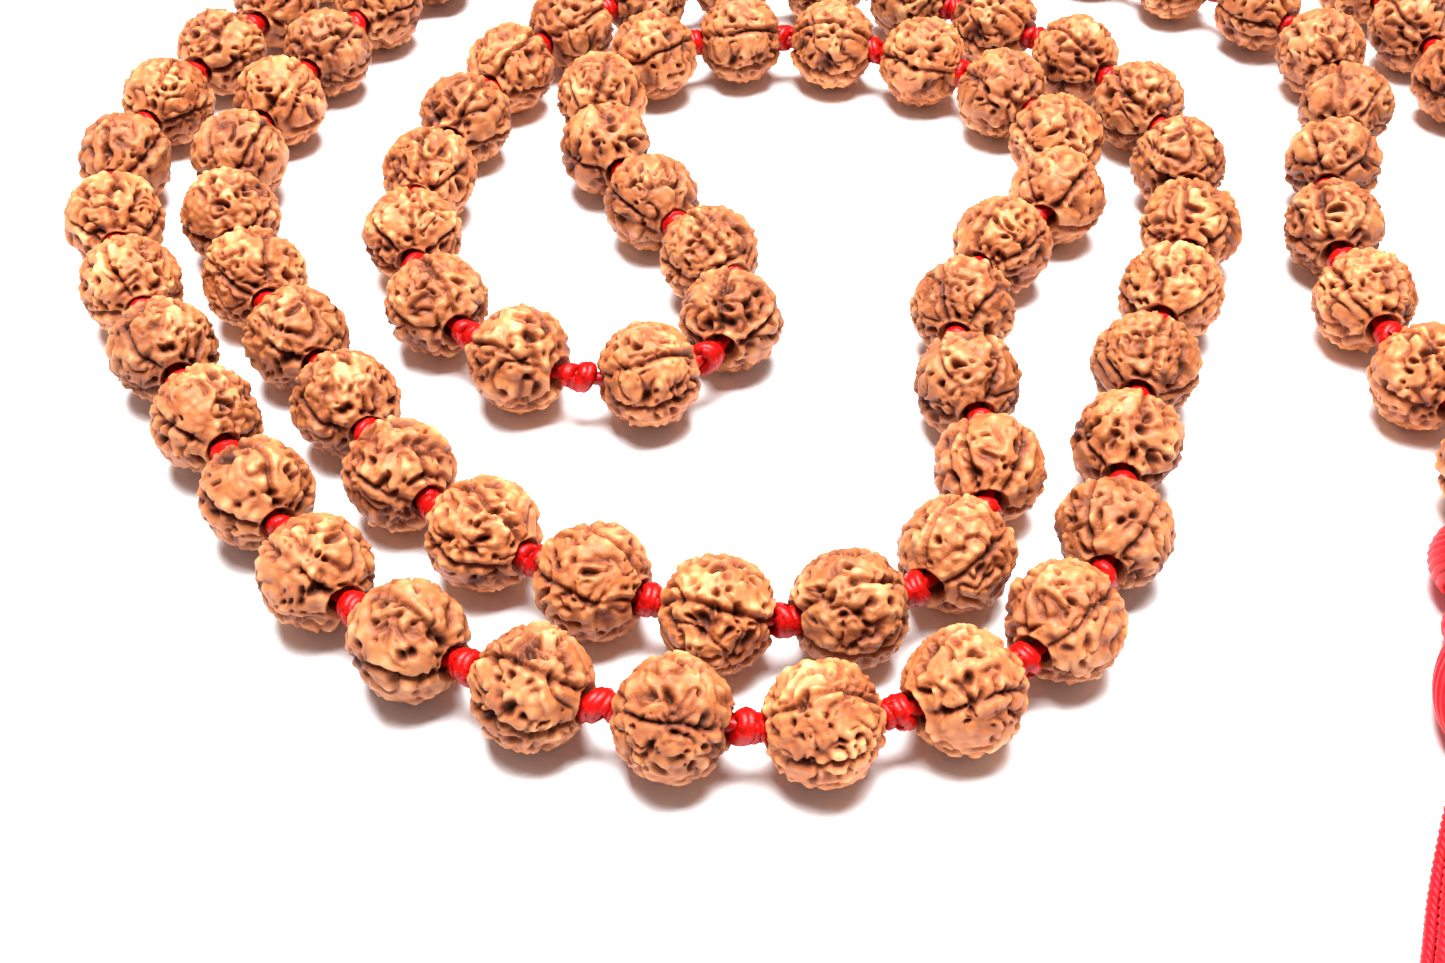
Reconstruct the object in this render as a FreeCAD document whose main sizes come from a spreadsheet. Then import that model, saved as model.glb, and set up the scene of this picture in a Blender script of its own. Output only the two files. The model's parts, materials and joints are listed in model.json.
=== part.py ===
"""Mala prayer beads: seeds knotted on a red thread, a guru bead and a tassel.

The string lies on a flat surface as a closed loop that runs beside itself.
+Z is up, and the origin is the middle of the footprint, on the surface.
Everything is in millimetres.
"""

import FreeCAD, Part
import math
import os

SIZES = {
    "bead_width": 8.3,
    "bead_height": 8.1,
    "bead_bore": 2.0,
    "bead_mouth": 3.6,
    "bead_mouth_depth": 1.3,
    "guru_width": 8.8,
    "guru_height": 8.6,
    "guru_bore": 2.9,
    "guru_mouth": 5.0,
    "guru_mouth_depth": 1.5,
    "thread_width": 1.0,
    "knot_width": 2.1,
    "knot_length": 1.6,
    "knot_round": 0.3,
    "knot_bore": 1.14,
    "head_knot_width": 6.1,
    "head_knot_length": 6.4,
    "neck_knot_width": 4.0,
    "neck_knot_length": 2.6,
    "tassel_knot_width": 5.4,
    "tassel_knot_length": 9.2,
    "collar_width": 3.7,
    "collar_length": 3.4,
    "collar_round": 0.5,
    "yarn_width": 0.75,
    "flex_gap": 0.45,
    "joint_gap": 0.1,
}

# The thread's route at the height of the bead centres, from the guru bead round to it again.
THREAD_ROUTE = [
    # up through the guru bead and the strand beside it
    (43.3, -17.6), (44.1, -14.1), (45.1, -10.8), (43.6, -7.2), (41.3, -1.0), (39.4, 10.0),
    (41.5, 22.0), (45.9, 31.0), (46.0, 41.5), (40.5, 50.5), (31.5, 56.5),
    # the far turn, inner strand
    (23.0, 64.0), (14.0, 73.5), (1.0, 80.0), (-14.5, 80.0), (-26.5, 72.5), (-33.5, 61.0),
    (-40.5, 48.0),
    # down the left, round the near turn and back, inner strand
    (-46.5, 32.0), (-49.0, 20.5), (-44.5, 8.0), (-36.3, -4.0), (-29.0, -16.5), (-18.0, -24.0),
    (-5.0, -28.7), (6.8, -24.4), (11.0, -14.0), (8.5, 0.0), (12.5, 11.5), (20.5, 18.5),
    (20.3, 29.0), (12.0, 39.0), (-4.0, 44.0), (-15.5, 41.0),
    # the drop-shaped bight in the middle
    (-20.3, 30.0), (-14.5, 18.5), (-6.4, 7.0), (-7.6, -1.0), (-13.9, -5.1), (-22.6, -3.0),
    (-30.5, 4.2), (-33.2, 15.5), (-30.5, 28.5), (-26.3, 40.0), (-16.5, 51.0), (-1.0, 55.0),
    (13.0, 49.0), (24.0, 40.0), (29.5, 28.5), (30.0, 15.5),
    # the near turn, outer strand
    (24.3, 2.0), (19.6, -11.5), (17.4, -23.4), (8.2, -33.9), (-5.5, -37.0), (-19.5, -33.7),
    (-31.5, -27.5), (-39.5, -16.0), (-48.0, -2.8), (-55.0, 10.5), (-58.2, 22.5), (-55.0, 36.0),
    (-49.3, 48.0),
    # the far turn, outer strand
    (-45.5, 62.0), (-39.0, 76.0), (-26.5, 87.5), (-10.0, 93.0), (8.0, 92.5), (25.0, 86.0),
    (38.5, 75.5), (48.0, 63.0),
    # down the right and into the guru bead
    (53.5, 50.0), (56.3, 38.0), (57.8, 25.0), (58.0, 12.0), (56.8, 0.6), (52.6, -6.4),
    (46.2, -10.9), (45.3, -14.5), (44.3, -17.9),
]

# How far along the thread some of the beads sit. The beads between two of them are evenly spaced.
BEAD_COUNT = 108
FROM_END = 14.2
BEAD_MARKS = [
    (1, 14.2), (6, 60.2), (20, 185.6), (27, 246.3), (31, 280.4), (36, 325.0), (43, 384.2),
    (47, 418.2), (48, 426.8), (49, 436.4), (50, 446.5), (52, 465.2), (61, 543.0), (73, 651.2),
    (84, 749.3),
]
# Beads with a node and a spin joint of their own. The others share the node spaced_beads.
SPINNING_BEADS = [*range(1, 4), *range(22, 37), *range(47, 54), *range(64, 82)]
# How far each way from its middle a bead's bore follows the thread, as a share of its height.
BEAD_GRIP = 0.45
# How much of the shorter run at a corner its arc takes, and how far off a cord's volume may be.
ARC_SHARE = 0.45
VOLUME_TOLERANCE = 0.01

GURU_CENTRE = (44.8, -14.0)
GURU_HEADING = 75.0
HEAD_KNOT_CENTRE = (41.3, -21.6)

# The tassel's own frame: x away from the guru bead, y to the side, z up, from its collar's end.
TASSEL_HEADING = -105.0
YARN_ROUTES = [
    [(0, -1.35, 1.4), (5, -2.15, 0.55), (12, -2.6, 0.4), (22, -4.4, 0.4), (34, -6.3, 0.4),
     (47, -7.6, 0.4), (57, -10.2, 0.4)],
    [(0, -0.9, 2.25), (5, -1.6, 1.35), (12, -1.95, 0.95), (22, -3.1, 0.4), (34, -4.5, 0.4),
     (47, -6.5, 0.4), (58.5, -7.4, 0.4)],
    [(0, -0.45, 0.6), (5, -1.1, 0.5), (12, -1.25, 0.4), (22, -2.1, 0.4), (34, -3.4, 0.4),
     (47, -4.2, 0.4), (57.6, -5.8, 0.4)],
    [(0, -0.45, 1.42), (5, -0.4, 1.15), (12, -0.4, 0.5), (22, -1.15, 0.4), (34, -1.6, 0.4),
     (47, -2.9, 0.4), (59, -2.6, 0.4)],
    [(0, 0, 2.25), (5, 0.1, 1.95), (12, 0.25, 1.2), (22, -0.1, 0.4), (34, 0.3, 0.4),
     (47, -0.1, 0.4), (58.2, -1.2, 0.4)],
    [(0, 0.45, 0.6), (5, 0.4, 0.45), (12, 0.85, 0.4), (22, 0.95, 0.4), (34, 1.7, 0.4),
     (47, 2.1, 0.4), (59, 1.5, 0.4)],
    [(0, 0.45, 1.42), (5, 1.05, 1.2), (12, 1.75, 0.5), (22, 2.1, 0.4), (34, 3.3, 0.4),
     (47, 3.6, 0.4), (57.8, 5.1, 0.4)],
    [(0, 0.9, 2.25), (5, 1.9, 1.7), (12, 2.5, 1.0), (22, 3.2, 0.4), (34, 4.4, 0.4),
     (47, 6.2, 0.4), (58.6, 6.9, 0.4)],
    [(0, 1.35, 1.4), (5, 2.3, 0.6), (12, 3.2, 0.4), (22, 4.4, 0.4), (34, 6.6, 0.4),
     (47, 7.9, 0.4), (56.8, 9.9, 0.4)],
]

V = FreeCAD.Vector
UP = V(0, 0, 1)
doc = FreeCAD.newDocument("mala")


def make_sheet():
    """The spreadsheet of driving dimensions."""
    sheet = doc.addObject("Spreadsheet::Sheet", "sizes")
    for row, (word, value) in enumerate(SIZES.items(), start=1):
        sheet.set(f"A{row}", word)
        sheet.set(f"B{row}", str(value))
        sheet.setAlias(f"B{row}", word)
    doc.recompute()


def flat_direction(heading):
    """A level unit vector at a heading in degrees from +X."""
    return V(math.cos(math.radians(heading)), math.sin(math.radians(heading)), 0)


def along_axis(centre, direction):
    """The placement that turns a part's own Z axis to a direction and moves it to a point."""
    return FreeCAD.Placement(centre, FreeCAD.Rotation(UP, direction))


def primitive(kind, name, **sizes):
    """A Part primitive whose sizes are bound to cells of the sheet."""
    obj = doc.addObject(kind, name)
    for prop, expression in sizes.items():
        obj.setExpression(prop, expression)
    return obj


def joined(kind, name, base, tool):
    """A Part boolean of two objects."""
    obj = doc.addObject(kind, name)
    obj.Base = base
    obj.Tool = tool
    return obj


def barrel(name, word):
    """A cylinder with rounded rims, whose sizes in the sheet start with the word."""
    tube = primitive(
        "Part::Cylinder",
        name + "_tube",
        Radius=f"sizes.{word}_width / 2",
        Height=f"sizes.{word}_length",
    )
    doc.recompute()
    rounded = doc.addObject("Part::Fillet", name)
    rounded.Base = tube
    edges = enumerate(tube.Shape.Edges, start=1)
    rims = [i for i, edge in edges if isinstance(edge.Curve, Part.Circle)]
    radius = SIZES[word + "_round"]
    rounded.Edges = [(i, radius, radius) for i in rims]
    return rounded


# --- Paths: straight runs joined by tangent arcs ---


def corner_arc(before, corner, after):
    """The arc that rounds a corner: its start, middle and end, and its radius."""
    back = before - corner
    ahead = after - corner
    shorter = min(back.Length, ahead.Length)
    back.normalize()
    ahead.normalize()
    half_turn = (math.pi - back.getAngle(ahead)) / 2
    reach = ARC_SHARE * shorter
    radius = reach / math.tan(half_turn)
    inward = (back + ahead).normalize()
    centre = corner + inward * (radius / math.cos(half_turn))
    middle = centre - inward * radius
    return corner + back * reach, middle, corner + ahead * reach, radius


def rounded_path(name, points):
    """A path through the points, as one wire, with its arcs' radii printed."""
    edges = []
    radii = []
    here = points[0]
    for before, corner, after in zip(points, points[1:], points[2:]):
        start, middle, end, radius = corner_arc(before, corner, after)
        edges.append(Part.LineSegment(here, start).toShape())
        edges.append(Part.Arc(start, middle, end).toShape())
        radii.append(round(radius, 1))
        here = end
    edges.append(Part.LineSegment(here, points[-1]).toShape())
    path = doc.addObject("Part::Feature", name + "_path")
    path.Shape = Part.Wire(edges)
    print(name, "length", round(path.Shape.Length, 1), "radii", radii)
    return path


def cord(name, points, width):
    """A round cord swept along its path. Its volume is checked against its section and length."""
    path = rounded_path(name, points)
    section = primitive("Part::Circle", name + "_section", Radius=f"sizes.{width} / 2")
    section.Placement = along_axis(points[0], points[1] - points[0])
    sweep = doc.addObject("Part::Sweep", name)
    sweep.Sections = [section]
    sweep.Spine = (path, [f"Edge{i + 1}" for i in range(len(path.Shape.Edges))])
    sweep.Solid = True
    sweep.Frenet = False
    doc.recompute()
    expected = math.pi * (SIZES[width] / 2) ** 2 * path.Shape.Length
    share = sweep.Shape.Volume / expected
    print(name, "volume over section times length", round(share, 4))
    if abs(share - 1) > VOLUME_TOLERANCE:
        raise ValueError(name + " isn't a clean tube")
    return sweep, path.Shape


def point_along(wire, distance):
    """The point at a distance along a wire."""
    for edge in wire.Edges:
        if distance <= edge.Length:
            return edge.valueAt(edge.getParameterByLength(distance))
        distance -= edge.Length
    return wire.Edges[-1].lastVertex(True).Point


# --- The seeds ---


def drill(name, bore, mouth, depth, height):
    """The tool that drills a seed from pole to pole and opens both mouths."""
    hole = primitive(
        "Part::Cylinder", name + "_hole", Radius=f"sizes.{bore} / 2", Height=f"sizes.{height}"
    )
    hole.setExpression("Placement.Base.z", f"-sizes.{height} / 2")
    mouths = []
    for side, turn in (("top", 0), ("bottom", 180)):
        cone = primitive(
            "Part::Cone",
            f"{name}_{side}",
            Radius1=f"sizes.{bore} / 2",
            Radius2=f"sizes.{mouth} / 2",
            Height=f"sizes.{depth}",
        )
        reach = pole_reach(height, mouth) - SIZES[depth]
        turned = FreeCAD.Rotation(V(1, 0, 0), turn)
        cone.Placement = FreeCAD.Placement(turned.multVec(V(0, 0, reach)), turned)
        lip = primitive(
            "Part::Cylinder",
            f"{name}_{side}_lip",
            Radius=f"sizes.{mouth} / 2",
            Height=f"sizes.{depth}",
        )
        lip.Placement = FreeCAD.Placement(turned.multVec(V(0, 0, reach + SIZES[depth])), turned)
        mouths += [cone, lip]
    fused = doc.addObject("Part::MultiFuse", name)
    fused.Shapes = [hole, *mouths]
    return fused


def pole_reach(height, mouth):
    """How far from a seed's centre the rim of its mouth is, along its axis."""
    width = height.replace("height", "width")
    share = SIZES[mouth] / SIZES[width]
    return SIZES[height] / 2 * math.sqrt(1 - share**2)


def seed_blank(name, width, height):
    """An undrilled seed: a body a little flatter along its axis."""
    return primitive(
        "Part::Ellipsoid",
        name,
        Radius1=f"sizes.{height} / 2",
        Radius2=f"sizes.{width} / 2",
        Radius3=f"sizes.{width} / 2",
    )


def drilled_seed(name, blank, tool, centre, direction):
    """One drilled seed, in place on the thread."""
    seed = joined("Part::Cut", name, blank, tool)
    seed.Placement = along_axis(centre, direction)
    return seed


def bead_distances(length):
    """How far along the thread each bead sits."""
    marks = [*BEAD_MARKS, (BEAD_COUNT, length - FROM_END)]
    distances = []
    for (first, start), (last, end) in zip(marks, marks[1:]):
        step = (end - start) / (last - first)
        distances += [start + step * i for i in range(last - first)]
    return [*distances, marks[-1][1]]


def bead_seat(wire, distance):
    """A bead's centre and axis: halfway between the thread's curve and the bead's chord."""
    half = SIZES["bead_height"] * BEAD_GRIP
    before = point_along(wire, distance - half)
    middle = point_along(wire, distance)
    after = point_along(wire, distance + half)
    chord_middle = (before + after) / 2
    return (middle + chord_middle) / 2, (after - before).normalize()


def make_beads(wire):
    """The beads that spin, each in its own node, and the node of all the others."""
    blank = seed_blank("bead_blank", "bead_width", "bead_height")
    tool = drill("bead_drill", "bead_bore", "bead_mouth", "bead_mouth_depth", "bead_height")
    spinning = []
    others = []
    for number, distance in enumerate(bead_distances(wire.Length), start=1):
        centre, axis = bead_seat(wire, distance)
        bead = drilled_seed(f"bead_{number:03d}", blank, tool, centre, axis)
        if number in SPINNING_BEADS:
            spinning.append(bead)
            print(bead.Name, "centre", spaced(centre), "axis", spaced(axis))
        else:
            others.append(bead)
    return spinning, group("spaced_beads", others)


def make_knots(wire):
    """A small knot in every gap between two beads, and one on each side of the guru bead."""
    blank = barrel("knot_blank", "knot")
    hole = primitive(
        "Part::Cylinder", "knot_hole", Radius="sizes.knot_bore / 2", Height="sizes.knot_length"
    )
    stations = bead_distances(wire.Length)
    gaps = [(a + b) / 2 for a, b in zip(stations, stations[1:])]
    half_pitch = gaps[0] - stations[0]
    gaps = [stations[0] - half_pitch, *gaps, stations[-1] + half_pitch]
    half = SIZES["knot_length"] / 2
    knots = []
    for number, distance in enumerate(gaps, start=1):
        ahead = point_along(wire, distance + half) - point_along(wire, distance - half)
        start = point_along(wire, distance) - ahead.normalize() * half
        knot = joined("Part::Cut", f"knot_{number:03d}", blank, hole)
        knot.Placement = along_axis(start, ahead)
        knots.append(knot)
    return group("thread_knots", knots)


def make_guru_bead():
    """The larger seed that both ends of the thread go through."""
    centre = V(*GURU_CENTRE, SIZES["guru_width"] / 2)
    return drilled_seed(
        "guru_bead",
        seed_blank("guru_blank", "guru_width", "guru_height"),
        drill("guru_drill", "guru_bore", "guru_mouth", "guru_mouth_depth", "guru_height"),
        centre,
        flat_direction(GURU_HEADING),
    )


# --- The tassel ---


def tassel_places():
    """How far back from the collar's end each piece of the tassel sits."""
    collar_start = SIZES["collar_length"] + SIZES["joint_gap"]
    knot_end = collar_start + SIZES["joint_gap"]
    knot_start = knot_end + SIZES["tassel_knot_length"]
    neck_end = knot_start + SIZES["joint_gap"]
    neck_start = neck_end + SIZES["neck_knot_length"]
    head_end = neck_start + SIZES["flex_gap"]
    return {
        "collar_start": collar_start,
        "tassel_knot": (knot_start + knot_end) / 2,
        "neck_knot": (neck_start + neck_end) / 2,
        "pivot": (neck_start + head_end) / 2,
        "head_knot": head_end + SIZES["head_knot_length"] / 2,
    }


def tassel_placement():
    """The tassel's own frame, whose origin is under the end of its collar."""
    ahead = flat_direction(TASSEL_HEADING)
    origin = V(*HEAD_KNOT_CENTRE, 0) + ahead * tassel_places()["head_knot"]
    return FreeCAD.Placement(origin, FreeCAD.Rotation(UP, TASSEL_HEADING))


def tassel_ball(name):
    """A wound knot of the tassel that rests on the surface, long along the tassel."""
    width = name + "_width"
    length = name + "_length"
    ball = primitive(
        "Part::Ellipsoid",
        name,
        Radius1=f"sizes.{length} / 2",
        Radius2=f"sizes.{width} / 2",
        Radius3=f"sizes.{width} / 2",
    )
    centre = tassel_placement().multVec(V(-tassel_places()[name], 0, SIZES[width] / 2))
    ball.Placement = along_axis(centre, flat_direction(TASSEL_HEADING))
    return ball


def make_collar():
    """The short winding that the loose yarns leave."""
    collar = barrel("tassel_collar", "collar")
    start = V(-tassel_places()["collar_start"], 0, SIZES["collar_width"] / 2)
    start = tassel_placement().multVec(start)
    collar.Placement = along_axis(start, flat_direction(TASSEL_HEADING))
    return collar


def make_tassel():
    """The head knot, the neck knot, the long knot, the collar and the yarns."""
    parts = [tassel_ball("head_knot"), tassel_ball("neck_knot"), tassel_ball("tassel_knot")]
    parts.append(make_collar())
    frame = tassel_placement()
    for number, route in enumerate(YARN_ROUTES, start=1):
        points = [frame.multVec(V(*point)) for point in route]
        parts.append(cord(f"yarn_{number}", points, "yarn_width")[0])
    pivot = V(-tassel_places()["pivot"], 0, SIZES["neck_knot_width"] / 2)
    print("tassel_lift pivot", spaced(frame.multVec(pivot)))
    return parts


# --- Nodes ---


def group(name, members):
    """Several separate solids in one node."""
    compound = doc.addObject("Part::Compound", name)
    compound.Links = members
    return compound


def spaced(vector):
    """A vector's numbers as text."""
    return " ".join(f"{value:.4f}" for value in vector)


def check_and_export(nodes):
    """Checks every object and each node's shape, then writes one file for each node."""
    doc.recompute()
    for obj in doc.Objects:
        if "Invalid" in obj.State or "Error" in obj.State:
            raise ValueError(obj.Name + " failed")
    for node in nodes:
        if node.Shape.isNull() or not node.Shape.isValid():
            raise ValueError(node.Name + " has no valid shape")
    os.makedirs("parts", exist_ok=True)
    for node in nodes:
        node.Label = node.Name
        node.Shape.exportStep(f"parts/{node.Label}.step")
    print(len(nodes), "nodes")


def main():
    make_sheet()
    height = SIZES["bead_width"] / 2
    points = [V(x, y, height) for x, y in THREAD_ROUTE]
    thread, wire = cord("mala_thread", points, "thread_width")
    spinning, others = make_beads(wire)
    knots = make_knots(wire)
    nodes = [thread, knots, make_guru_bead(), *spinning, others, *make_tassel()]
    check_and_export(nodes)


main()
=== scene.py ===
"""Mala prayer beads: a long loop of dried, wrinkled seeds knotted on red satin thread.

The string lies in a doubled loop on a pale surface. Its guru bead carries a crimson tassel.
"""

import json
import math
import random

import bmesh
import bpy
from mathutils import Matrix, Vector, kdtree, noise


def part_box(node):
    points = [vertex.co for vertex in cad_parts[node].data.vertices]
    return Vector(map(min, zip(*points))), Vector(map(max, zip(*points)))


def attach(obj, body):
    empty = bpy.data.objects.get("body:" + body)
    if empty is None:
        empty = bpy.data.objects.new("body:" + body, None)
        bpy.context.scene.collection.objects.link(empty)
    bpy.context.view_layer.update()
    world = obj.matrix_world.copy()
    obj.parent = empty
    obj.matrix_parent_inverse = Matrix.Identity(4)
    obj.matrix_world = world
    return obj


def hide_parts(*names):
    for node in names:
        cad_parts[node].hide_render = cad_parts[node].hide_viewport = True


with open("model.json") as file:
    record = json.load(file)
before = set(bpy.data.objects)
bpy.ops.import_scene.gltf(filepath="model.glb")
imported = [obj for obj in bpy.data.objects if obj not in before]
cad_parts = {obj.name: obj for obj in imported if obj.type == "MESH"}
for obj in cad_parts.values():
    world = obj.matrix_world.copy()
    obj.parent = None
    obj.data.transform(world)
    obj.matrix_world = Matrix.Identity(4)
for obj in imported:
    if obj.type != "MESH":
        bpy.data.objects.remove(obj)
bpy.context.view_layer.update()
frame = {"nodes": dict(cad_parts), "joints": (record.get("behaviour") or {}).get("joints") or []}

MM = 0.001
UP = Vector((0, 0, 1))

# The seeds
SEED_HALF_WIDTH = 4.15 * MM
SEED_HALF_HEIGHT = 4.0 * MM
SEED_BORE = 0.95 * MM
SEED_MOUTH = 1.4 * MM
SEED_MOUTH_DEPTH = 0.9 * MM
SEED_SHAPES = 12
FAR_SEED_FACES = 0.45
GURU_GROWTH = 1.06

# The shell's relief in millimetres: how deep or how high each of its shapes is at most
RELIEF_RADIUS = 4.1
KNOB_RISE = 0.2
LIP_RISE = 0.12
CREASE_DEPTH = 0.05
GROOVE_DEPTH = 0.36
CLEFT_DEPTH = 0.42
VALLEY_DEPTH = 0.14
PIT_DEPTH = 0.62
PORE_DEPTH = 0.38
SWELL_DEPTH = 0.22
LEAST_DEPTH = 0.08
# Depth at which the painted shade in the folds and pits is darkest
DARKEST_DEPTH = 0.85

# Where the draws of each kind start
SHAPE_DRAWS = 200
SEED_DRAWS = 1000
FAR_DRAWS = 200
RIGHT_SIDE_DRAWS = 300
GURU_DRAWS = 400
KNOT_SHAPE_DRAWS = 500
KNOT_DRAWS = 700

# The thread and its knots
THREAD_WIDTH = 1.0 * MM
KNOT_SHAPES = 5
KNOT_STRAND = 1.0 * MM

# The tassel
YARN_WIDTH = 0.75 * MM
COLLAR_END_FROM_PIVOT = 15.725 * MM
TASSEL_STRAND = 0.8 * MM
NECK_STRAND = 0.9 * MM
COLLAR_STRAND = 0.7 * MM
PLY_SHARE = 0.6
PLY_PITCH = 1.6 * MM
LINK_SPREAD = 0.45 * MM
LINK_REACH = 1.0 * MM

THREAD_ROUTE = [
    # up through the guru bead and the strand beside it
    (0.0433, -0.0176), (0.0441, -0.0141), (0.0451, -0.0108), (0.0436, -0.0072), (0.0413, -0.001),
    (0.0394, 0.01), (0.0415, 0.022), (0.0459, 0.031), (0.046, 0.0415), (0.0405, 0.0505),
    (0.0315, 0.0565),
    # the far turn, inner strand
    (0.023, 0.064), (0.014, 0.0735), (0.001, 0.08), (-0.0145, 0.08), (-0.0265, 0.0725),
    (-0.0335, 0.061), (-0.0405, 0.048),
    # down the left, round the near turn and back, inner strand
    (-0.0465, 0.032), (-0.049, 0.0205), (-0.0445, 0.008), (-0.0363, -0.004), (-0.029, -0.0165),
    (-0.018, -0.024), (-0.005, -0.0287), (0.0068, -0.0244), (0.011, -0.014), (0.0085, 0),
    (0.0125, 0.0115), (0.0205, 0.0185), (0.0203, 0.029), (0.012, 0.039), (-0.004, 0.044),
    (-0.0155, 0.041),
    # the drop-shaped bight in the middle
    (-0.0203, 0.03), (-0.0145, 0.0185), (-0.0064, 0.007), (-0.0076, -0.001), (-0.0139, -0.0051),
    (-0.0226, -0.003), (-0.0305, 0.0042), (-0.0332, 0.0155), (-0.0305, 0.0285), (-0.0263, 0.04),
    (-0.0165, 0.051), (-0.001, 0.055), (0.013, 0.049), (0.024, 0.04), (0.0295, 0.0285),
    (0.03, 0.0155),
    # the near turn, outer strand
    (0.0243, 0.002), (0.0196, -0.0115), (0.0174, -0.0234), (0.0082, -0.0339), (-0.0055, -0.037),
    (-0.0195, -0.0337), (-0.0315, -0.0275), (-0.0395, -0.016), (-0.048, -0.0028),
    (-0.055, 0.0105), (-0.0582, 0.0225), (-0.055, 0.036), (-0.0493, 0.048),
    # the far turn, outer strand
    (-0.0455, 0.062), (-0.039, 0.076), (-0.0265, 0.0875), (-0.01, 0.093), (0.008, 0.0925),
    (0.025, 0.086), (0.0385, 0.0755), (0.048, 0.063),
    # down the right and into the guru bead
    (0.0535, 0.05), (0.0563, 0.038), (0.0578, 0.025), (0.058, 0.012), (0.0568, 0.0006),
    (0.0526, -0.0064), (0.0462, -0.0109), (0.0453, -0.0145), (0.0443, -0.0179),
]

# The tassel's own frame: x away from the guru bead, y to the side, z up, from its collar's end.
YARN_ROUTES = [
    [
        (0, -0.00135, 0.0014), (0.005, -0.00215, 0.00055), (0.012, -0.0026, 0.0004),
        (0.022, -0.0044, 0.0004), (0.034, -0.0063, 0.0004), (0.047, -0.0076, 0.0004),
        (0.057, -0.0102, 0.0004),
    ],
    [
        (0, -0.0009, 0.00225), (0.005, -0.0016, 0.00135), (0.012, -0.00195, 0.00095),
        (0.022, -0.0031, 0.0004), (0.034, -0.0045, 0.0004), (0.047, -0.0065, 0.0004),
        (0.0585, -0.0074, 0.0004),
    ],
    [
        (0, -0.00045, 0.0006), (0.005, -0.0011, 0.0005), (0.012, -0.00125, 0.0004),
        (0.022, -0.0021, 0.0004), (0.034, -0.0034, 0.0004), (0.047, -0.0042, 0.0004),
        (0.0576, -0.0058, 0.0004),
    ],
    [
        (0, -0.00045, 0.00142), (0.005, -0.0004, 0.00115), (0.012, -0.0004, 0.0005),
        (0.022, -0.00115, 0.0004), (0.034, -0.0016, 0.0004), (0.047, -0.0029, 0.0004),
        (0.059, -0.0026, 0.0004),
    ],
    [
        (0, 0, 0.00225), (0.005, 0.0001, 0.00195), (0.012, 0.00025, 0.0012),
        (0.022, -0.0001, 0.0004), (0.034, 0.0003, 0.0004), (0.047, -0.0001, 0.0004),
        (0.0582, -0.0012, 0.0004),
    ],
    [
        (0, 0.00045, 0.0006), (0.005, 0.0004, 0.00045), (0.012, 0.00085, 0.0004),
        (0.022, 0.00095, 0.0004), (0.034, 0.0017, 0.0004), (0.047, 0.0021, 0.0004),
        (0.059, 0.0015, 0.0004),
    ],
    [
        (0, 0.00045, 0.00142), (0.005, 0.00105, 0.0012), (0.012, 0.00175, 0.0005),
        (0.022, 0.0021, 0.0004), (0.034, 0.0033, 0.0004), (0.047, 0.0036, 0.0004),
        (0.0578, 0.0051, 0.0004),
    ],
    [
        (0, 0.0009, 0.00225), (0.005, 0.0019, 0.0017), (0.012, 0.0025, 0.001),
        (0.022, 0.0032, 0.0004), (0.034, 0.0044, 0.0004), (0.047, 0.0062, 0.0004),
        (0.0586, 0.0069, 0.0004),
    ],
    [
        (0, 0.00135, 0.0014), (0.005, 0.0023, 0.0006), (0.012, 0.0032, 0.0004),
        (0.022, 0.0044, 0.0004), (0.034, 0.0066, 0.0004), (0.047, 0.0079, 0.0004),
        (0.0568, 0.0099, 0.0004),
    ],
]


# The camera
CAMERA_PLACE = (-0.008, -0.107, 0.0911)
CAMERA_TILT = 46.6
CAMERA_LENS = 46.64


# --- Scene ---


def link(obj):
    """Puts an object in the scene."""
    bpy.context.scene.collection.objects.link(obj)
    return obj


def place_camera():
    """The camera: close over the near turn, looking across the loop."""
    data = bpy.data.cameras.new("camera")
    data.sensor_width = 36
    data.lens = CAMERA_LENS
    data.clip_start = 0.005
    camera = link(bpy.data.objects.new("camera", data))
    camera.location = CAMERA_PLACE
    camera.rotation_euler = (math.radians(CAMERA_TILT), 0, 0)
    bpy.context.scene.camera = camera


def lay_floor():
    """A plain white surface."""
    shape = bmesh.new()
    bmesh.ops.create_grid(shape, x_segments=1, y_segments=1, size=3)
    mesh = bpy.data.meshes.new("floor")
    shape.to_mesh(mesh)
    shape.free()
    floor = link(bpy.data.objects.new("floor", mesh))
    material, shader = new_material("white_table")
    shader.inputs["Base Color"].default_value = (0.93, 0.93, 0.94, 1)
    shader.inputs["Roughness"].default_value = 0.6
    mesh.materials.append(material)


def softbox(name, place, aim, size, power):
    """A square soft light aimed at a point."""
    data = bpy.data.lights.new(name, "AREA")
    data.size = size
    data.energy = power
    light = link(bpy.data.objects.new(name, data))
    light.location = place
    light.rotation_euler = (Vector(aim) - Vector(place)).to_track_quat("-Z", "Y").to_euler()


def light_studio():
    """A bright white room with one large soft light overhead."""
    world = bpy.data.worlds.new("studio")
    world.use_nodes = True
    sky = world.node_tree.nodes["Background"]
    sky.inputs["Color"].default_value = (1, 1, 1, 1)
    sky.inputs["Strength"].default_value = 0.22
    bpy.context.scene.world = world
    bpy.context.scene.view_settings.view_transform = "Standard"
    softbox("overhead", (-0.01, 0.05, 0.6), (0, 0.02, 0), 0.34, 15.0)


# --- Materials ---


def new_material(name):
    """A node material and its shader."""
    material = bpy.data.materials.new(name)
    material.use_nodes = True
    return material, material.node_tree.nodes["Principled BSDF"]


def node(material, kind, **inputs):
    """A node of a material, with its constant inputs."""
    made = material.node_tree.nodes.new(kind)
    for socket, value in inputs.items():
        made.inputs[socket].default_value = value
    return made


def wire(material, source, target):
    """Joins two sockets."""
    material.node_tree.links.new(source, target)


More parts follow.
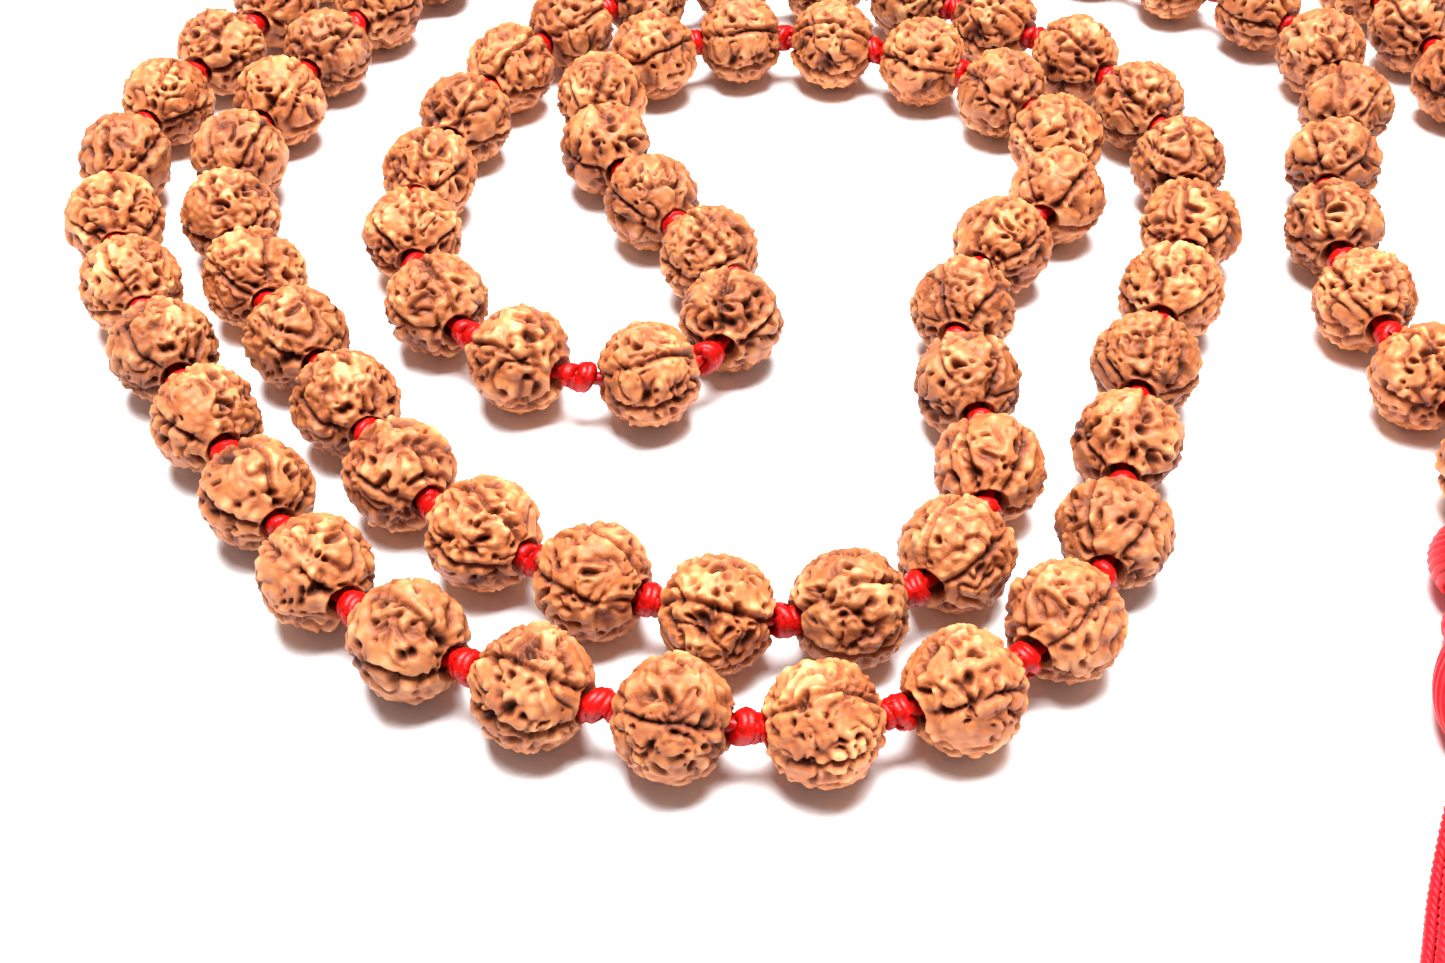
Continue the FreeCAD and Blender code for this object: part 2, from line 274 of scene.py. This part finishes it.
def colour_ramp(material, stops):
    """A ramp through the colours at the given places."""
    ramp = material.node_tree.nodes.new("ShaderNodeValToRGB")
    elements = ramp.color_ramp.elements
    for place, colour in stops[1:-1]:
        elements.new(place).color = (*colour, 1)
    elements[0].position, elements[0].color = stops[0][0], (*stops[0][1], 1)
    elements[-1].position, elements[-1].color = stops[-1][0], (*stops[-1][1], 1)
    return ramp


def seed_shell():
    """Dried seed: tan on the ridges, brown in the folds, nearly black at the bottom of the pits and
    in the bore's mouth. This darkening with depth is partly the seed's own colour and partly
    painted shade in the recesses, and the pale ridge tops are partly painted light.
    """
    material, shader = new_material("dried_seed_shell")
    hollow = node(material, "ShaderNodeAttribute")
    hollow.attribute_name = "hollow"
    # Colour by depth: the darker stops are painted shade in folds, pits and the bore's mouth, on
    # top of the seed's own darker folds; the palest stop is partly painted light on the ridge tops.
    shades = colour_ramp(
        material,
        [
            (0.0, (0.72, 0.36, 0.165)),
            (0.16, (0.54, 0.205, 0.076)),
            (0.4, (0.37, 0.108, 0.034)),
            (0.7, (0.2, 0.046, 0.013)),
            (1.0, (0.08, 0.018, 0.005)),
        ],
    )
    wire(material, hollow.outputs["Fac"], shades.inputs["Fac"])
    tint = node(material, "ShaderNodeAttribute")
    tint.attribute_name = "tint"
    toned = node(material, "ShaderNodeHueSaturation", Hue=0.5, Saturation=1.0)
    wire(material, tint.outputs["Fac"], toned.inputs["Value"])
    wire(material, shades.outputs["Color"], toned.inputs["Color"])
    place = node(material, "ShaderNodeTexCoord")
    blotches = node(material, "ShaderNodeTexNoise", Scale=420.0, Detail=4.0, Roughness=0.6)
    wire(material, place.outputs["Object"], blotches.inputs["Vector"])
    stain = colour_ramp(material, [(0.35, (0.72, 0.6, 0.52)), (0.62, (1.12, 1.1, 1.06))])
    wire(material, blotches.outputs["Fac"], stain.inputs["Fac"])
    stained = node(material, "ShaderNodeMix", Factor=0.75)
    stained.data_type = "RGBA"
    stained.blend_type = "MULTIPLY"
    wire(material, toned.outputs["Color"], stained.inputs[6])
    wire(material, stain.outputs["Color"], stained.inputs[7])
    wire(material, stained.outputs[2], shader.inputs["Base Color"])
    grain = node(material, "ShaderNodeTexNoise", Scale=3200.0, Detail=4.0, Roughness=0.65)
    wire(material, place.outputs["Object"], grain.inputs["Vector"])
    bump = node(material, "ShaderNodeBump", Distance=0.00014)
    roughness = colour_ramp(material, [(0.1, (0.3, 0.3, 0.3)), (0.6, (1.0, 1.0, 1.0))])
    wire(material, hollow.outputs["Fac"], roughness.inputs["Fac"])
    wire(material, roughness.outputs["Color"], bump.inputs["Strength"])
    wire(material, grain.outputs["Fac"], bump.inputs["Height"])
    wire(material, bump.outputs["Normal"], shader.inputs["Normal"])
    shader.inputs["Roughness"].default_value = 0.5
    shader.inputs["Specular IOR Level"].default_value = 0.3
    return material


def satin(name, dark, bright, fibres, roughness):
    """Satin cord: fine fibres that lean along the strand, with a painted highlight on the fibres'
    tops and painted shade between them.
    """
    material, shader = new_material(name)
    place = node(material, "ShaderNodeUVMap")
    lean = node(material, "ShaderNodeMapping", Scale=(fibres, 2.0, 1.0))
    lean.inputs["Rotation"].default_value = (0, 0, math.radians(4))
    wire(material, place.outputs["UV"], lean.inputs["Vector"])
    fibre = node(material, "ShaderNodeTexNoise", Scale=1.0, Detail=3.0, Roughness=0.7)
    wire(material, lean.outputs["Vector"], fibre.inputs["Vector"])
    # Painted highlight and shade: the colour follows the fibre noise that also drives the bump,
    # lighter where the fibres stand high.
    shades = colour_ramp(material, [(0.3, dark), (0.7, bright)])
    wire(material, fibre.outputs["Fac"], shades.inputs["Fac"])
    wire(material, shades.outputs["Color"], shader.inputs["Base Color"])
    bump = node(material, "ShaderNodeBump", Strength=0.7, Distance=0.00008)
    wire(material, fibre.outputs["Fac"], bump.inputs["Height"])
    wire(material, bump.outputs["Normal"], shader.inputs["Normal"])
    shader.inputs["Roughness"].default_value = roughness
    shader.inputs["Specular IOR Level"].default_value = 0.22
    return material


# --- Strands ---


def smooth_line(name, points, width):
    """A round cord along a smooth curve that the points guide."""
    curve = bpy.data.curves.new(name, "CURVE")
    curve.dimensions = "3D"
    curve.resolution_u = 10
    curve.bevel_depth = width / 2
    curve.bevel_resolution = 3
    curve.use_fill_caps = True
    spline = curve.splines.new("NURBS")
    spline.points.add(len(points) - 1)
    for spot, point in zip(spline.points, points):
        spot.co = (*point, 1)
    spline.order_u = 3
    spline.use_endpoint_u = True
    return link(bpy.data.objects.new(name, curve))


def finished_mesh(holder):
    """The mesh that an object comes to with its modifiers or bevel. The object is then removed."""
    bpy.context.view_layer.update()
    graph = bpy.context.evaluated_depsgraph_get()
    mesh = bpy.data.meshes.new_from_object(holder.evaluated_get(graph))
    bpy.data.objects.remove(holder)
    return mesh


def read_line(points):
    """The points of the smooth curve that a route guides."""
    mesh = finished_mesh(smooth_line("guide", points, 0))
    line = [vertex.co.copy() for vertex in mesh.vertices]
    bpy.data.meshes.remove(mesh)
    return line


def strands(paths, width, roundness=1):
    """A mesh of round strands that follow the paths, each with its own UV along it."""
    curve = bpy.data.curves.new("strands", "CURVE")
    curve.dimensions = "3D"
    curve.bevel_depth = width / 2
    curve.bevel_resolution = roundness
    curve.use_fill_caps = True
    for path in paths:
        spline = curve.splines.new("POLY")
        spline.points.add(len(path) - 1)
        for spot, point in zip(spline.points, path):
            spot.co = (*point, 1)
    return finished_mesh(link(bpy.data.objects.new("strands", curve)))


def winding(width, length, strand, turns, tilt, start=0.0):
    """A path wound round the Z axis over a barrel, each turn leaning by the tilt."""
    steps = int(turns * 14)
    path = []
    for step in range(steps + 1):
        share = step / steps
        angle = start + share * turns * math.tau
        height = (share - 0.5) * (length - strand)
        swell = math.cos(height / length * math.pi * 0.8)
        radius = (width - strand) / 2 * (0.45 + 0.55 * swell)
        lean = math.sin(angle - start) * tilt * radius
        path.append(Vector((math.cos(angle) * radius, math.sin(angle) * radius, height + lean)))
    return path


def lengthwise(width, length, strand, count, twist, narrow=0.35):
    """Paths that run from end to end over a barrel, twisted round it together."""
    paths = []
    for number in range(count):
        path = []
        for step in range(21):
            share = step / 20
            height = (share - 0.5) * (length - strand)
            swell = math.sin(share * math.pi) ** 0.6
            radius = (width - strand) / 2 * (narrow + (1 - narrow) * swell)
            angle = number / count * math.tau + twist * (share - 0.5)
            path.append(Vector((math.cos(angle) * radius, math.sin(angle) * radius, height)))
        paths.append(path)
    return paths


def plied(line, width, plies, pitch):
    """Paths of the plies that twist round a line."""
    steps_per_turn = 9
    spots = evenly(line, pitch / steps_per_turn)
    paths = []
    for ply in range(plies):
        path = []
        for number, (spot, ahead) in enumerate(spots):
            side = ahead.cross(UP).normalized()
            over = side.cross(ahead)
            angle = number / steps_per_turn * math.tau + ply / plies * math.tau
            away = (side * math.cos(angle) + over * math.sin(angle)) * width / 4
            path.append(spot + away)
        paths.append(path)
    return paths


def evenly(line, step):
    """Places at even steps along a line, each with the direction there."""
    spots = []
    left = 0.0
    for a, b in zip(line, line[1:]):
        run = (b - a).length
        if run == 0:
            continue
        ahead = (b - a) / run
        while left <= run:
            spots.append((a + ahead * left, ahead))
            left += step
        left -= run
    return spots


# --- Seeds ---


def smooth_step(value, low, high):
    """0 below low, 1 above high, and a smooth rise between."""
    share = min(1.0, max(0.0, (value - low) / (high - low)))
    return share * share * (3 - 2 * share)


def sway(point):
    """A smooth random vector, read from the noise at three heights."""
    return Vector([noise.noise(point + UP * height) for height in (0, 31, 67)])


def seed_relief(direction, shift, clefts, fineness):
    """How far the shell lies below the seed's outline at a direction, in millimetres."""
    here = direction * RELIEF_RADIUS * fineness + shift
    bent = here + sway(here * 0.55) * 0.9
    swell = SWELL_DEPTH * (noise.noise(here * 0.4) + 0.7)
    fold = abs(noise.noise(bent * 0.66))
    width = 0.11 + 0.07 * noise.noise(here * 0.5)
    groove = math.exp(-((fold / width) ** 2)) * smooth_step(noise.noise(here * 0.5), -0.45, 0.15)
    near, _ = noise.voronoi(bent * 0.82)
    size = 0.38 + 0.26 * noise.noise(here * 0.7)
    pit = 1 - smooth_step(near[0], size * 0.3, size)
    near, _ = noise.voronoi(bent * 1.35 + UP * 7)
    size = 0.24 + 0.34 * noise.noise(here * 0.55 + UP * 3)
    pore = 1 - smooth_step(near[0], size * 0.3, max(size, 0.01))
    near, _ = noise.voronoi(here * 1.0 + bent * 0.2)
    knob = 1 - smooth_step(near[0], 0.05, 0.7)
    wrinkle = abs(noise.noise(bent * 1.5))
    crease = math.exp(-((wrinkle / 0.14) ** 2))
    around = math.atan2(direction.y, direction.x) + 0.2 * noise.noise(here * 0.35)
    flat = math.hypot(direction.x, direction.y)
    off = abs(math.sin(around * clefts / 2)) * 2 / clefts * flat * RELIEF_RADIUS
    cleft = math.exp(-((off / 0.15) ** 2)) * smooth_step(noise.noise(here * 0.4 + UP), -0.5, 0.1)
    lip = math.exp(-(((off - 0.5) / 0.25) ** 2))
    valley = math.exp(-((off / 0.9) ** 2))
    raised = KNOB_RISE * knob + LIP_RISE * lip
    folded = CREASE_DEPTH * crease + GROOVE_DEPTH * groove
    folded = folded + CLEFT_DEPTH * cleft + VALLEY_DEPTH * valley
    holed = PIT_DEPTH * pit + PORE_DEPTH * pore
    return max(0.0, swell + folded + holed - raised + LEAST_DEPTH)


def carve_seed(shift, clefts, fineness):
    """One seed about the Z axis: a ball carved by its relief, with a flared bore."""
    seed = bmesh.new()
    hollow = seed.verts.layers.float.new("hollow")
    bmesh.ops.create_icosphere(seed, subdivisions=6, radius=1)
    for vert in seed.verts:
        direction = vert.co.normalized()
        flat = math.hypot(direction.x, direction.y) * SEED_HALF_WIDTH
        calm = smooth_step(flat, SEED_MOUTH * 0.8, SEED_MOUTH * 1.3)
        depth = seed_relief(direction, shift, clefts, fineness) * calm * MM
        funnel = 1 - smooth_step(flat, SEED_BORE, SEED_MOUTH * 1.12)
        shrink = 1 - depth / SEED_HALF_WIDTH
        vert.co.x = direction.x * SEED_HALF_WIDTH * shrink
        vert.co.y = direction.y * SEED_HALF_WIDTH * shrink
        height = abs(direction.z) * SEED_HALF_HEIGHT * shrink - funnel * SEED_MOUTH_DEPTH
        vert.co.z = math.copysign(height, direction.z)
        # The depth mask for the seed's colour: it drives the painted shade in folds and pits, and
        # adds painted shade in the bore's mouth.
        vert[hollow] = min(1.0, depth / (DARKEST_DEPTH * MM) + 0.55 * funnel)
    bore_through(seed)
    return seed


def bore_through(seed):
    """Opens both poles and joins them by a round bore."""
    middle = [v for v in seed.verts if math.hypot(v.co.x, v.co.y) < SEED_BORE * 0.9]
    bmesh.ops.delete(seed, geom=middle, context="VERTS")
    rims = [edge for edge in seed.edges if edge.is_boundary]
    for vert in {v for edge in rims for v in edge.verts}:
        stretch = SEED_BORE / math.hypot(vert.co.x, vert.co.y)
        vert.co.x *= stretch
        vert.co.y *= stretch
    bmesh.ops.bridge_loops(seed, edges=rims)
    bmesh.ops.recalc_face_normals(seed, faces=seed.faces)


def seed_library(count):
    """Carved seeds that differ in their folds and clefts."""
    library = []
    for number in range(count):
        dice = random.Random(SHAPE_DRAWS + number)
        shift = Vector([dice.uniform(-60, 60) for _ in range(3)])
        seed = carve_seed(shift, dice.choice((4, 5, 5, 6)), dice.uniform(0.78, 1.0))
        mesh = bpy.data.meshes.new(f"seed_shape_{number}")
        seed.to_mesh(mesh)
        seed.free()
        library.append(mesh)
    return library


def thinned(mesh, share):
    """A copy of a mesh with a share of its faces."""
    holder = link(bpy.data.objects.new("thinning", mesh))
    modifier = holder.modifiers.new("thin", "DECIMATE")
    modifier.ratio = share
    return finished_mesh(holder)


def seat(centre, axis, spin):
    """The matrix that puts a shape made about the Z axis at a place on the thread."""
    turned = Vector(axis).to_track_quat("Z", "Y").to_matrix().to_4x4()
    return Matrix.Translation(centre) @ turned @ Matrix.Rotation(spin, 4, "Z")


def add_seed(target, shape, place, dice):
    """Adds one seed to a piece, a little different in size, turn and tint."""
    first = len(target.verts)
    target.from_mesh(shape)
    target.verts.ensure_lookup_table()
    verts = target.verts[first:]
    tint = target.verts.layers.float["tint"]
    shade = dice.uniform(0.82, 1.16)
    for vert in verts:
        vert[tint] = shade
    flip = Matrix.Rotation(math.pi * dice.randrange(2), 4, "X")
    size = Matrix.Diagonal((dice.uniform(0.965, 1.0), dice.uniform(0.965, 1.0), 1, 1))
    bmesh.ops.transform(target, matrix=place @ flip @ size, verts=verts)


def new_piece(name, mesh, material, body, slot, *nodes):
    """A finished piece, with its material, its body and the nodes it stands for. The slot is not
    used.
    """
    mesh.materials.clear()
    mesh.materials.append(material)
    mesh.polygons.foreach_set("use_smooth", [True] * len(mesh.polygons))
    piece = link(bpy.data.objects.new(name, mesh))
    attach(piece, body)
    if nodes:
        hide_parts(*nodes)
    return piece


def seeds_piece(name, places, shapes, first, material, body, node_name, growth=1.0):
    """One piece of one or more seeds."""
    cluster = bmesh.new()
    cluster.verts.layers.float.new("hollow")
    cluster.verts.layers.float.new("tint")
    for number, place in enumerate(places, start=first):
        dice = random.Random(SEED_DRAWS + number)
        spin = Matrix.Rotation(dice.uniform(0, math.tau), 4, "Z")
        sized = place @ spin @ Matrix.Scale(growth, 4)
        add_seed(cluster, shapes[dice.randrange(len(shapes))], sized, dice)
    mesh = bpy.data.meshes.new(name)
    cluster.to_mesh(mesh)
    cluster.free()
    return new_piece(name, mesh, material, body, "seed", node_name)


def solid_centres(node_name):
    """The centre of each separate solid in a node."""
    shape = bmesh.new()
    shape.from_mesh(frame["nodes"][node_name].data)
    bmesh.ops.remove_doubles(shape, verts=shape.verts, dist=0.001 * MM)
    centres = []
    waiting = set(shape.verts)
    for vert in list(shape.verts):
        if vert not in waiting:
            continue
        island = [vert]
        waiting.discard(vert)
        for member in island:
            for edge in member.link_edges:
                other = edge.other_vert(member)
                if other in waiting:
                    waiting.discard(other)
                    island.append(other)
        spots = [member.co for member in island]
        low = Vector([min(spot[i] for spot in spots) for i in range(3)])
        high = Vector([max(spot[i] for spot in spots) for i in range(3)])
        centres.append((low + high) / 2)
    shape.free()
    return centres


def along_thread(line):
    """A search tree of the points of the thread's line."""
    tree = kdtree.KDTree(len(line))
    for number, spot in enumerate(line):
        tree.insert(spot, number)
    tree.balance()
    return tree


def thread_station(tree, centre):
    """The number of the line's point nearest to a centre."""
    return tree.find(centre)[1]


def thread_heading(line, station):
    """The thread's direction at one of its points."""
    return (line[min(station + 2, len(line) - 1)] - line[max(station - 2, 0)]).normalized()


# --- The object ---


def make_seeds(material, line, tree):
    """Every seed on the string, and the guru bead."""
    shapes = seed_library(SEED_SHAPES)
    light_shapes = [thinned(shape, FAR_SEED_FACES) for shape in shapes]
    for joint in frame["joints"]:
        if joint["child"].startswith("bead_"):
            place = seat(joint["pos_m"], joint["axis"], 0)
            number = int(joint["child"][-3:])
            name = f"seed_{number:03d}"
            seeds_piece(name, [place], shapes, number, material, joint["child"], joint["child"])
    stations = sorted((thread_station(tree, c), tuple(c)) for c in solid_centres("spaced_beads"))
    ordered = [seat(c, thread_heading(line, s), 0) for s, c in stations]
    runs = {"seeds_far_turn_inner": 18, "seeds_crossing": 20, "seeds_far_turn_outer": 13}
    first = 0
    for name, count in runs.items():
        places = ordered[first : first + count]
        draws = FAR_DRAWS + first
        seeds_piece(name, places, light_shapes, draws, material, "string", "spaced_beads")
        first += count
    places = ordered[first:]
    draws = RIGHT_SIDE_DRAWS
    name = "seeds_right_side"
    seeds_piece(name, places, light_shapes, draws, material, "string", "spaced_beads")
    low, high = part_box("guru_bead")
    place = [seat((low + high) / 2, tassel_heading() * -1, 0)]
    draws = GURU_DRAWS
    seeds_piece("guru_seed", place, shapes, draws, material, "string", "guru_bead", GURU_GROWTH)


def knot_shape(number):
    """A satin knot about the Z axis: broad leaning wraps, and a smaller lump beside them."""
    dice = random.Random(KNOT_SHAPE_DRAWS + number)
    lean = dice.uniform(0.5, 0.8)
    first_turn = dice.uniform(0, math.tau)
    fat = winding(2.45 * MM, 1.7 * MM, KNOT_STRAND, 1.9, lean, first_turn)
    fat = [spot + UP * 0.3 * MM for spot in fat]
    crossing = winding(2.2 * MM, 1.5 * MM, KNOT_STRAND, 1.1, -lean, first_turn + 2.5)
    small = winding(1.9 * MM, 1.2 * MM, KNOT_STRAND, 1.3, -0.4, first_turn + 1.0)
    small = [spot - UP * 0.75 * MM for spot in small]
    return strands([fat, crossing, small], KNOT_STRAND, 2)


def make_knots(material, line, tree):
    """A knot at each place where the string has one."""
    shapes = [knot_shape(number) for number in range(KNOT_SHAPES)]
    wound = bmesh.new()
    stations = sorted((thread_station(tree, c), tuple(c)) for c in solid_centres("thread_knots"))
    for number, (station, centre) in enumerate(stations):
        dice = random.Random(KNOT_DRAWS + number)
        heading = thread_heading(line, station) * dice.choice((1, -1))
        place = seat(centre, heading, dice.uniform(0, math.tau))
        first = len(wound.verts)
        wound.from_mesh(dice.choice(shapes))
        wound.verts.ensure_lookup_table()
        bmesh.ops.transform(wound, matrix=place, verts=wound.verts[first:])
    mesh = bpy.data.meshes.new("knots")
    wound.to_mesh(mesh)
    wound.free()
    new_piece("satin_knots", mesh, material, "string", "red_thread", "thread_knots")


def make_thread(material):
    """The thread that the seeds are strung on."""
    height = (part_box("mala_thread")[0].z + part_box("mala_thread")[1].z) / 2
    points = [(x, y, height) for x, y in THREAD_ROUTE]
    thread = smooth_line("stringing_thread", points, THREAD_WIDTH)
    thread.data.materials.append(material)
    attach(thread, "string")
    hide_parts("mala_thread")
    return read_line(points)


def joint_named(name):
    """What the frame says about a joint."""
    return next(joint for joint in frame["joints"] if joint["name"] == name)


def tassel_heading():
    """The level direction in which the tassel leads away from the guru bead."""
    return Vector(joint_named("tassel_lift")["axis"]).cross(UP).normalized() * -1


def tassel_matrix():
    """The tassel's own frame, from under the end of its collar."""
    ahead = tassel_heading()
    pivot = Vector(joint_named("tassel_lift")["pos_m"])
    origin = pivot + ahead * COLLAR_END_FROM_PIVOT
    origin.z = 0
    side = UP.cross(ahead)
    turn = Matrix((ahead, side, UP)).transposed().to_4x4()
    return Matrix.Translation(origin) @ turn


def make_yarns(material):
    """The tassel's loose yarns, each of three plies."""
    place = tassel_matrix()
    for number, route in enumerate(YARN_ROUTES, start=1):
        points = [place @ Vector(point) for point in route]
        line = read_line(points)
        mesh = strands(plied(line, YARN_WIDTH, 3, PLY_PITCH), YARN_WIDTH * PLY_SHARE)
        name = f"silk_yarn_{number}"
        yarn = new_piece(name, mesh, material, "tassel", "tassel_silk", f"yarn_{number}")


def wound_piece(name, paths, strand, core, material, body, node_name):
    """A piece of wound strands over a plain core, where the CAD node is."""
    mesh = strands(paths, strand, 2)
    shape = bmesh.new()
    shape.from_mesh(mesh)
    ball = bmesh.ops.create_uvsphere(shape, u_segments=16, v_segments=10, radius=0.5)
    width, length = core
    stretch = Matrix.Diagonal((width, width, length, 1))
    bmesh.ops.transform(shape, matrix=stretch, verts=ball["verts"])
    low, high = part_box(node_name)
    place = seat((low + high) / 2, tassel_heading(), 0)
    bmesh.ops.transform(shape, matrix=place, verts=shape.verts)
    shape.to_mesh(mesh)
    shape.free()
    new_piece(name, mesh, material, body, "tassel_silk", node_name)


def make_links(material):
    """The pairs of threads that join the guru bead to the head knot, and that to the neck knot."""
    ahead = tassel_heading()
    side = UP.cross(ahead) * LINK_SPREAD
    runs = [
        ("guru_link_silk", "tassel_head", "head_knot", "tassel_swing"),
        ("neck_link_silk", "tassel", "neck_knot", "tassel_lift"),
    ]
    for name, body, node_name, joint_name in runs:
        low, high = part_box(node_name)
        middle = (low + high) / 2
        start = Vector(joint_named(joint_name)["pos_m"]) - ahead * LINK_REACH
        paths = [[start + side * hand, middle + side * hand] for hand in (-1, 1)]
        mesh = strands(paths, THREAD_WIDTH, 2)
        new_piece(name, mesh, material, body, "tassel_silk", node_name)


def make_tassel(material):
    """The tassel: its links, head knot, neck knot, long twisted knot and collar."""
    make_links(material)
    head = [winding(6.1 * MM, 5.8 * MM, TASSEL_STRAND, 8.2, 0.5)]
    head_core = (5.2 * MM, 5.4 * MM)
    wound_piece(
        "head_knot_silk", head, TASSEL_STRAND, head_core, material, "tassel_head", "head_knot"
    )
    neck = [winding(4.0 * MM, 2.6 * MM, NECK_STRAND, 2.8, 0.2)]
    neck_core = (2.6 * MM, 2.5 * MM)
    wound_piece("neck_knot_silk", neck, NECK_STRAND, neck_core, material, "tassel", "neck_knot")
    long_knot = lengthwise(5.4 * MM, 9.2 * MM, TASSEL_STRAND, 18, 2.2)
    long_core = (4.5 * MM, 8.7 * MM)
    wound_piece(
        "long_knot_silk", long_knot, TASSEL_STRAND, long_core, material, "tassel", "tassel_knot"
    )
    collar = [winding(3.7 * MM, 3.4 * MM, COLLAR_STRAND, 4.6, 0.05)]
    collar_core = (2.8 * MM, 3.4 * MM)
    wound_piece(
        "collar_silk", collar, COLLAR_STRAND, collar_core, material, "tassel", "tassel_collar"
    )


def main():
    place_camera()
    # Each satin's dark and bright colours are the painted shade between its fibres and the painted
    # highlight on them
    red_satin = satin("red_satin_thread", (0.13, 0.0004, 0.0003), (0.55, 0.003, 0.0015), 40.0, 0.36)
    crimson = satin("crimson_tassel_silk", (0.28, 0.0006, 0.003), (0.74, 0.003, 0.014), 24.0, 0.55)
    line = make_thread(red_satin)
    make_yarns(crimson)
    tree = along_thread(line)
    make_seeds(seed_shell(), line, tree)
    make_knots(red_satin, line, tree)
    make_tassel(crimson)
    lay_floor()
    light_studio()


main()
